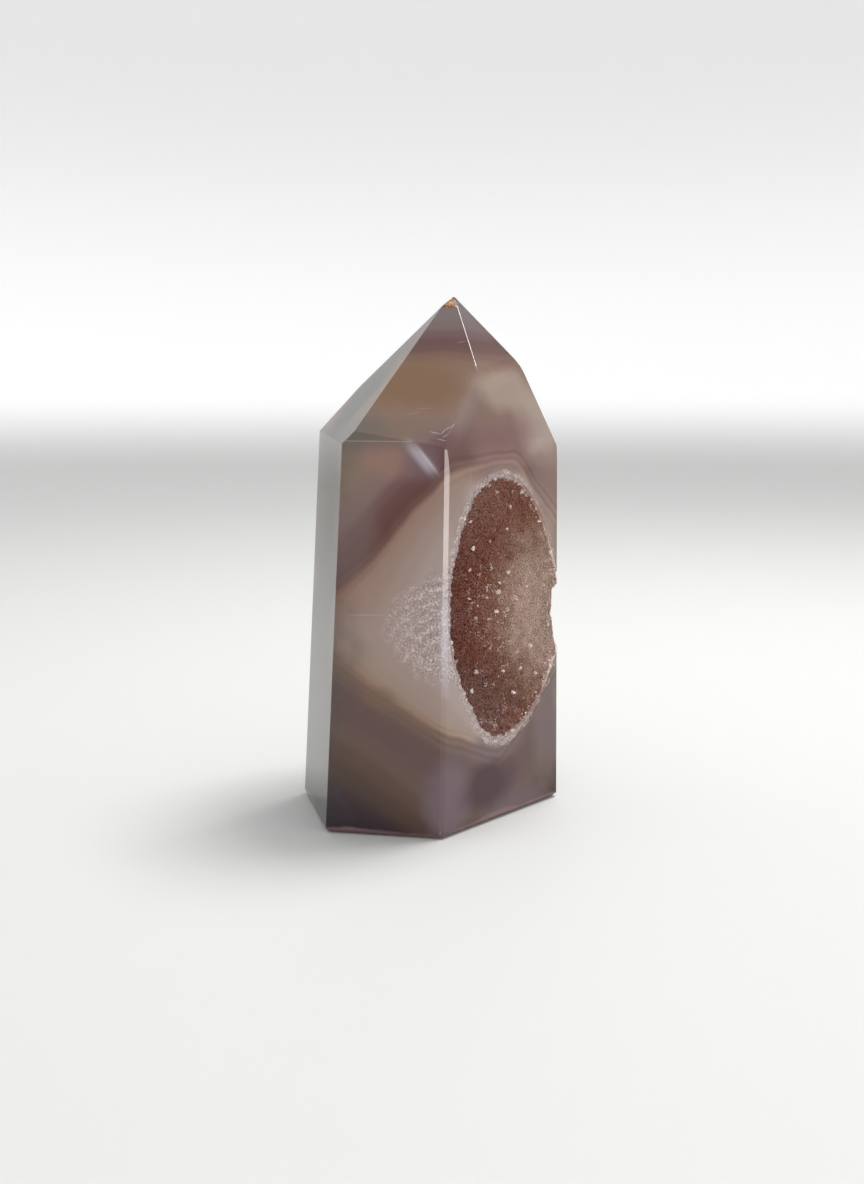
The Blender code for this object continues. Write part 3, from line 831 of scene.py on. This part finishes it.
def makeCrystalFinish():
    look = crystalLook
    material, tree, shader = newMaterial("druzyQuartz")
    place = millimetres(tree, layersFrom)
    parts = addNode(tree, "ShaderNodeSeparateXYZ", {"Vector": place}).outputs
    tone = addNode(tree, "ShaderNodeAttribute", attribute_name="tone").outputs["Fac"]
    bright = addNode(tree, "ShaderNodeAttribute", attribute_name="bright").outputs["Fac"]
    rim = addNode(tree, "ShaderNodeAttribute", attribute_name="rim").outputs["Fac"]
    patchy = noiseNode(tree, place, 0.25, 3.0, 0.6)
    side = maths(tree, "MULTIPLY_ADD", maths(tree, "SUBTRACT", patchy, 0.5), 4.0, parts["X"])
    # red-brown to pale from left to right; the pale right side is partly painted light
    body = ramp(tree, plainRange(tree, side, *look["across"]), look["body"])
    for heights, end, strength in (look["top"], look["foot"]):
        share = maths(tree, "MULTIPLY", smoothRange(tree, parts["Z"], *heights), strength)
        body = blend(tree, share, body, screenColor(*end))
    dusk = blend(tree, 1.0, body, look["dusk"], "MULTIPLY")
    lightTone, lightShare = look["light"]
    lightBody = blend(tree, lightShare, body, screenColor(*lightTone))
    color = blend(tree, smoothRange(tree, tone, 0.0, 0.55), dusk, body)
    color = blend(tree, smoothRange(tree, tone, 0.6, 1.0), color, lightBody)
    color = vectors(tree, "SCALE", color, look["gain"])
    grainSize, pits = agateLook["quartzGrain"]
    grain = placeGroup(tree, grainGroup, Vector=place, Grain=grainSize, Pits=pits)
    edge = maths(tree, "MULTIPLY_ADD", maths(tree, "SUBTRACT", patchy, 0.5), 0.8, rim)
    white = smoothRange(tree, edge, 0.38, 0.95, 0.0, 0.92)
    white = maths(tree, "MULTIPLY", white, smoothRange(tree, parts["X"], 1.0, 7.0, 1.0, 0.12))
    sugar = ramp(tree, grain["Grain"], [
        (0.0, agateLook["quartzDark"]), (0.4, agateLook["quartz"]), (1.0, agateLook["quartzPale"]),
    ])
    color = blend(tree, white, color, sugar)
    # Painted sparkle: the bright crystals are painted near white and glow faintly, standing in for facets
    # that catch the light
    pale = maths(tree, "MULTIPLY", smoothRange(tree, bright, 0.2, 1.0), smoothRange(tree, tone, 0.1, 0.9))
    color = blend(tree, pale, color, screenColor(*look["bright"]))
    plug(tree, shader.inputs["Base Color"], color)
    glint = blend(tree, pale, (0, 0, 0, 1), screenColor(*look["glint"]))
    plug(tree, shader.inputs["Emission Color"], glint)
    shader.inputs["Emission Strength"].default_value = look["glintStrength"]
    plug(tree, shader.inputs["Roughness"], smoothRange(tree, patchy, 0.3, 0.8, *look["roughness"]))
    shader.inputs["IOR"].default_value = 1.5
    bump = addNode(tree, "ShaderNodeBump", {
        "Height": noiseNode(tree, place, 6.0, 2.0), "Distance": 0.05 * mm, "Strength": 0.3,
    })
    plug(tree, shader.inputs["Normal"], bump.outputs["Normal"])
    return material


def makeLining(finish):
    piece = meshPiece("druzy_lining", liningShell(), [finish])
    modifier = piece.modifiers.new("crystals", "NODES")
    modifier.node_group = crystalTree()
    grown = piece.evaluated_get(bpy.context.evaluated_depsgraph_get())
    mesh = bpy.data.meshes.new_from_object(grown)
    piece.modifiers.clear()
    piece.data = mesh
    bm = bmesh.new()
    bm.from_mesh(mesh)
    cutAtFaces(bm, lining["crystalRecess"])
    bmesh.ops.holes_fill(bm, edges=[edge for edge in bm.edges if edge.is_boundary], sides=0)
    bmesh.ops.triangulate(bm, faces=bm.faces)
    bm.to_mesh(mesh)
    bm.free()
    mesh.materials.clear()
    mesh.materials.append(finish)
    print("lining has", len(mesh.polygons), "faces")
    return piece


# The polished look of the stone's own mesh: soft edges shade round, crisp ones stay crisp

def polishTree(sharpFrom):
    tree, shell, result = geometryTree("polishShading")
    merged = addNode(tree, "GeometryNodeMergeByDistance", {"Geometry": shell, "Distance": 0.01 * mm})
    smooth = addNode(tree, "GeometryNodeSetShadeSmooth", {"Geometry": merged.outputs[0]}, domain="FACE")
    angle = addNode(tree, "GeometryNodeInputMeshEdgeAngle").outputs["Unsigned Angle"]
    crisp = addNode(tree, "FunctionNodeCompare", {"A": angle, "B": sharpFrom}, operation="GREATER_THAN")
    edged = addNode(tree, "GeometryNodeSetShadeSmooth", {
        "Geometry": smooth.outputs[0], "Selection": crisp.outputs[0], "Shade Smooth": False,
    }, domain="EDGE")
    plug(tree, result, edged.outputs[0])
    return tree


def finishTower(finish):
    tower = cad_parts["agate_tower"]
    tower.data.materials.clear()
    tower.data.materials.append(finish)
    shading = tower.modifiers.new("polish", "NODES")
    shading.node_group = polishTree(math.radians(24))
    weighted = tower.modifiers.new("flatFaces", "WEIGHTED_NORMAL")
    weighted.keep_sharp = True
    weighted.weight = 50
    return tower


# Stage, light and camera

stageLook = {
    "radius": 1.5,
    "bend": 0.55,  # radius of the bend from floor to wall
    "wall": 0.7,
    "color": (215, 215, 213),
    "wallColor": (246, 246, 245),
    "wallFrom": (-0.005, 0.07),
    "wallGlow": 0.29,
    "glowFades": (0.1, 0.5, 1.0, 0.35),  # heights, and the share left at each
}


def makeStage():
    # A round pale floor that bends up into a wall on every side
    material, tree, shader = newMaterial("paleStage")
    place = addNode(tree, "ShaderNodeTexCoord").outputs["Object"]
    tone = smoothRange(tree, noiseNode(tree, place, 2.0, 1.0), 0.3, 0.7)
    level = addNode(tree, "ShaderNodeSeparateXYZ", {"Vector": place}).outputs["Z"]
    rising = smoothRange(tree, level, *stageLook["wallFrom"])
    base = screenColor(*stageLook["color"])
    floorTone = blend(tree, tone, base, [part * 0.985 for part in base[:3]] + [1.0])
    color = blend(tree, rising, floorTone, screenColor(*stageLook["wallColor"]))
    plug(tree, shader.inputs["Base Color"], color)
    shader.inputs["Roughness"].default_value = 0.6
    # The wall has a light of its own, strongest where the floor bends up
    glow = maths(tree, "MULTIPLY", rising, smoothRange(tree, level, *stageLook["glowFades"]))
    plug(tree, shader.inputs["Emission Color"], blend(tree, glow, (0, 0, 0, 1), (1.0, 1.0, 0.99, 1.0)))
    shader.inputs["Emission Strength"].default_value = stageLook["wallGlow"]
    bend = stageLook["bend"]
    turn = stageLook["radius"] - bend
    level = cadLow.z - 0.01 * mm
    bm = bmesh.new()
    middle = bm.verts.new((0, 0, level))
    start = bm.verts.new((turn, 0, level))
    bm.edges.new((middle, start))
    bmesh.ops.spin(
        bm, geom=[start], cent=(turn, 0, level + bend), axis=(0, -1, 0),
        angle=math.pi / 2, steps=24, use_merge=False,
    )
    top = max(bm.verts, key=lambda vert: vert.co.z)
    grown = bmesh.ops.extrude_vert_indiv(bm, verts=[top])
    bmesh.ops.translate(bm, verts=grown["verts"], vec=(0, 0, stageLook["wall"]))
    bmesh.ops.spin(
        bm, geom=bm.verts[:] + bm.edges[:], cent=(0, 0, 0), axis=(0, 0, 1),
        angle=math.tau, steps=96, use_merge=True,
    )
    bmesh.ops.remove_doubles(bm, verts=bm.verts, dist=1e-5)
    bmesh.ops.recalc_face_normals(bm, faces=bm.faces)
    floor = meshPiece("stageFloor", bm, [material])
    for polygon in floor.data.polygons:
        polygon.use_smooth = True
    return floor


def addLamp(name, target, direction, distance, size, radiance, color, mirroredOnly):
    # A soft panel that faces its target, with its brightness given as the light a white
    # surface would send out
    width, height = size
    light = bpy.data.lights.new(name, "AREA")
    light.shape = "RECTANGLE"
    light.size = width
    light.size_y = height
    light.energy = radiance * math.pi * width * height
    light.color = color
    lamp = bpy.data.objects.new(name, light)
    lamp.location = target + direction * distance
    lamp.rotation_mode = "QUATERNION"
    lamp.rotation_quaternion = direction.to_track_quat("Z", "Y")
    lamp.visible_camera = False
    lamp.visible_diffuse = not mirroredOnly
    bpy.context.scene.collection.objects.link(lamp)
    return lamp


lightLook = {
    "room": ((0.97, 0.985, 1.0, 1.0), 0.73),
    # Each panel: what it faces in millimetres, direction, distance, size, brightness and colour
    "sidePanel": ((-13.2, -16.1, 70), (-10, 0), 0.35, (0.10, 0.14), 9.0, (1.0, 0.93, 0.92)),
    "topPanel": ((0, 0, 35), (74, 69), 0.5, (0.19, 0.19), 17.5, (1.0, 1.0, 0.99)),
}

cameraLook = {
    "lens": 39.5,
    "place": (-153.68, -137.16, 64.88),
    "turn": (90 - 8.524, 0.0, -48.64),
}


def makeLight():
    world = bpy.data.worlds.new("paleRoom")
    bpy.context.scene.world = world
    world.use_nodes = True
    sky = world.node_tree.nodes["Background"]
    color, strength = lightLook["room"]
    sky.inputs["Color"].default_value = color
    sky.inputs["Strength"].default_value = strength
    for name in ("sidePanel", "topPanel"):
        target, way, distance, size, radiance, tint = lightLook[name]
        # The side panel only shows mirrored, as the bright line down the front edge
        mirroredOnly = name == "sidePanel"
        addLamp(name, Vector(target) * mm, compass(*way), distance, size, radiance, tint, mirroredOnly)


def makeCamera():
    camera = bpy.data.cameras.new("photoCamera")
    camera.sensor_width = 36.0
    camera.lens = cameraLook["lens"]
    camera.clip_start = 0.01
    camera.clip_end = 10.0
    eye = bpy.data.objects.new("photoCamera", camera)
    eye.location = Vector(cameraLook["place"]) * mm
    eye.rotation_euler = [math.radians(turn) for turn in cameraLook["turn"]]
    bpy.context.scene.collection.objects.link(eye)
    bpy.context.scene.camera = eye


finishTower(makeAgate())
print("stone finished")
druzy = makeLining(makeCrystalFinish())
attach(druzy, "root")
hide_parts("druzy_crust")
makeStage()
makeLight()
makeCamera()
bpy.context.scene.view_settings.view_transform = "Standard"
print("stage, light and camera set")
